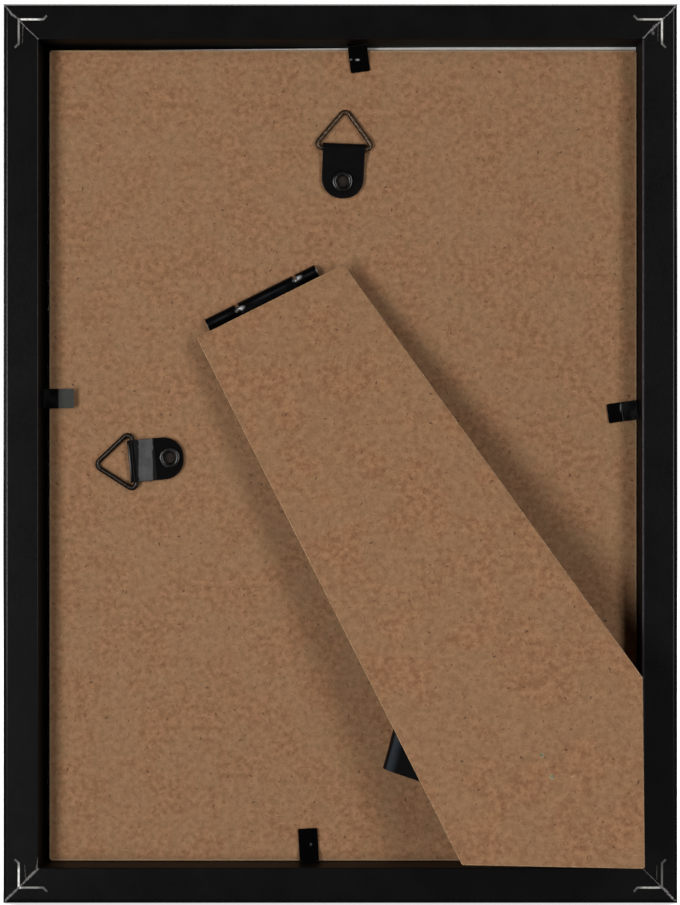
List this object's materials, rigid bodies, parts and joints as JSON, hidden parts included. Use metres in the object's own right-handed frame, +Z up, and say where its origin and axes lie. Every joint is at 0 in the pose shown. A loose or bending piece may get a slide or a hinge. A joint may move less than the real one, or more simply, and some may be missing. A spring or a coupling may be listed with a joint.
{
  "type": "easel back photo frame",
  "caption": "Upright rectangular photo frame with mitred black rails, a fibreboard back, a slanted hinged easel strut, wire hanging rings and bent retainer tabs.",
  "frame": {"origin": "middle of the bottom rail's underside", "axes": "+Z up the long side, +Y out of the back where the strut is, +X to the left as seen from the back"},
  "size_m": [0.147, 0.0391, 0.196],
  "materials": {
    "rail_wrap": "MDF wrapped in satin black foil",
    "tab_steel": "blackened spring steel",
    "nail_steel": "bare bright steel",
    "pane_glass": "clear float glass, ground arrises",
    "insert_paper": "white card",
    "board_mdf": "bare brown fibreboard with flecks",
    "strap_steel": "gloss black lacquer",
    "ring_wire": "blackened wire",
    "rivet_steel": "gloss black lacquer, rubbed rim",
    "hinge_steel": "gloss black lacquer",
    "pin_steel": "bare drawn wire",
    "strut_mdf": "bare brown fibreboard, paler cut edges",
    "ribbon_satin": "black satin",
    "staple_wire": "galvanised wire"
  },
  "bodies": {
    "frame": {"rail_top": "rail_wrap", "rail_right": "rail_wrap", "rail_bottom": "rail_wrap", "rail_left": "rail_wrap", "vnail_top_left": "nail_steel", "vnail_top_right": "nail_steel", "vnail_bottom_left": "nail_steel", "vnail_bottom_right": "nail_steel", "glass_pane": "pane_glass", "paper_insert": "insert_paper", "backboard": "board_mdf", "tab_top_anchor": "tab_steel", "tab_right_anchor": "tab_steel", "tab_bottom_anchor": "tab_steel", "tab_left_anchor": "tab_steel", "hanger_top_rivet": "rivet_steel", "hanger_left_rivet": "rivet_steel", "hinge_board_leaf": "hinge_steel", "hinge_pin": "pin_steel", "board_staple": "staple_wire", "stay_ribbon": "ribbon_satin"},
    "easel_leg": {"strut": "strut_mdf", "hinge_strut_leaf": "hinge_steel", "strut_staple": "staple_wire"},
    "strap_top": {"hanger_top_strap": "strap_steel"},
    "ring_top": {"hanger_top_ring": "ring_wire"},
    "strap_left": {"hanger_left_strap": "strap_steel"},
    "ring_left": {"hanger_left_ring": "ring_wire"},
    "blade_bottom": {"tab_bottom": "tab_steel"},
    "blade_right": {"tab_right": "tab_steel"},
    "blade_top": {"tab_top": "tab_steel"},
    "blade_left": {"tab_left": "tab_steel"}
  },
  "joints": [
    {"name": "strut_hinge", "type": "hinge", "parent": "frame", "child": "easel_leg", "pos_m": [0.0173, 0.0014, 0.1324], "axis": [0.8949, 0, -0.4462], "range_deg": [-9.5, 21], "deforming": ["stay_ribbon"]},
    {"name": "hanger_top_swivel", "type": "hinge", "parent": "frame", "child": "strap_top", "pos_m": [-0.0005, -0.0002, 0.15805], "axis": [0, 1, 0], "range_deg": [-90, 90]},
    {"name": "hanger_top_ring_swing", "type": "hinge", "parent": "strap_top", "child": "ring_top", "pos_m": [-0.00079, 0.00101, 0.16529], "axis": [-0.9992, 0, -0.0401], "range_deg": [0, 140]},
    {"name": "hanger_left_swivel", "type": "hinge", "parent": "frame", "child": "strap_left", "pos_m": [0.03765, -0.0002, 0.09705], "axis": [0, 1, 0], "range_deg": [-90, 90]},
    {"name": "hanger_left_ring_swing", "type": "hinge", "parent": "strap_left", "child": "ring_left", "pos_m": [0.04551, 0.00101, 0.09629], "axis": [0.0958, 0, 0.9954], "range_deg": [0, 140]},
    {"name": "tab_bottom_bend", "type": "hinge", "parent": "frame", "child": "blade_bottom", "pos_m": [0.00682, 0.00165, 0.00815], "axis": [-0.9981, 0, 0.061], "range_deg": [0, 75]},
    {"name": "tab_right_bend", "type": "hinge", "parent": "frame", "child": "blade_right", "pos_m": [-0.06535, 0.00165, 0.10765], "axis": [0.1392, 0, 0.9903], "range_deg": [0, 75]},
    {"name": "tab_top_bend", "type": "hinge", "parent": "frame", "child": "blade_top", "pos_m": [-0.00375, 0.00165, 0.18785], "axis": [0.9914, 0, -0.1305], "range_deg": [0, 75]},
    {"name": "tab_left_bend", "type": "hinge", "parent": "frame", "child": "blade_left", "pos_m": [0.06535, 0.00165, 0.1101], "axis": [-0.0087, 0, -1], "range_deg": [0, 75]}
  ]
}
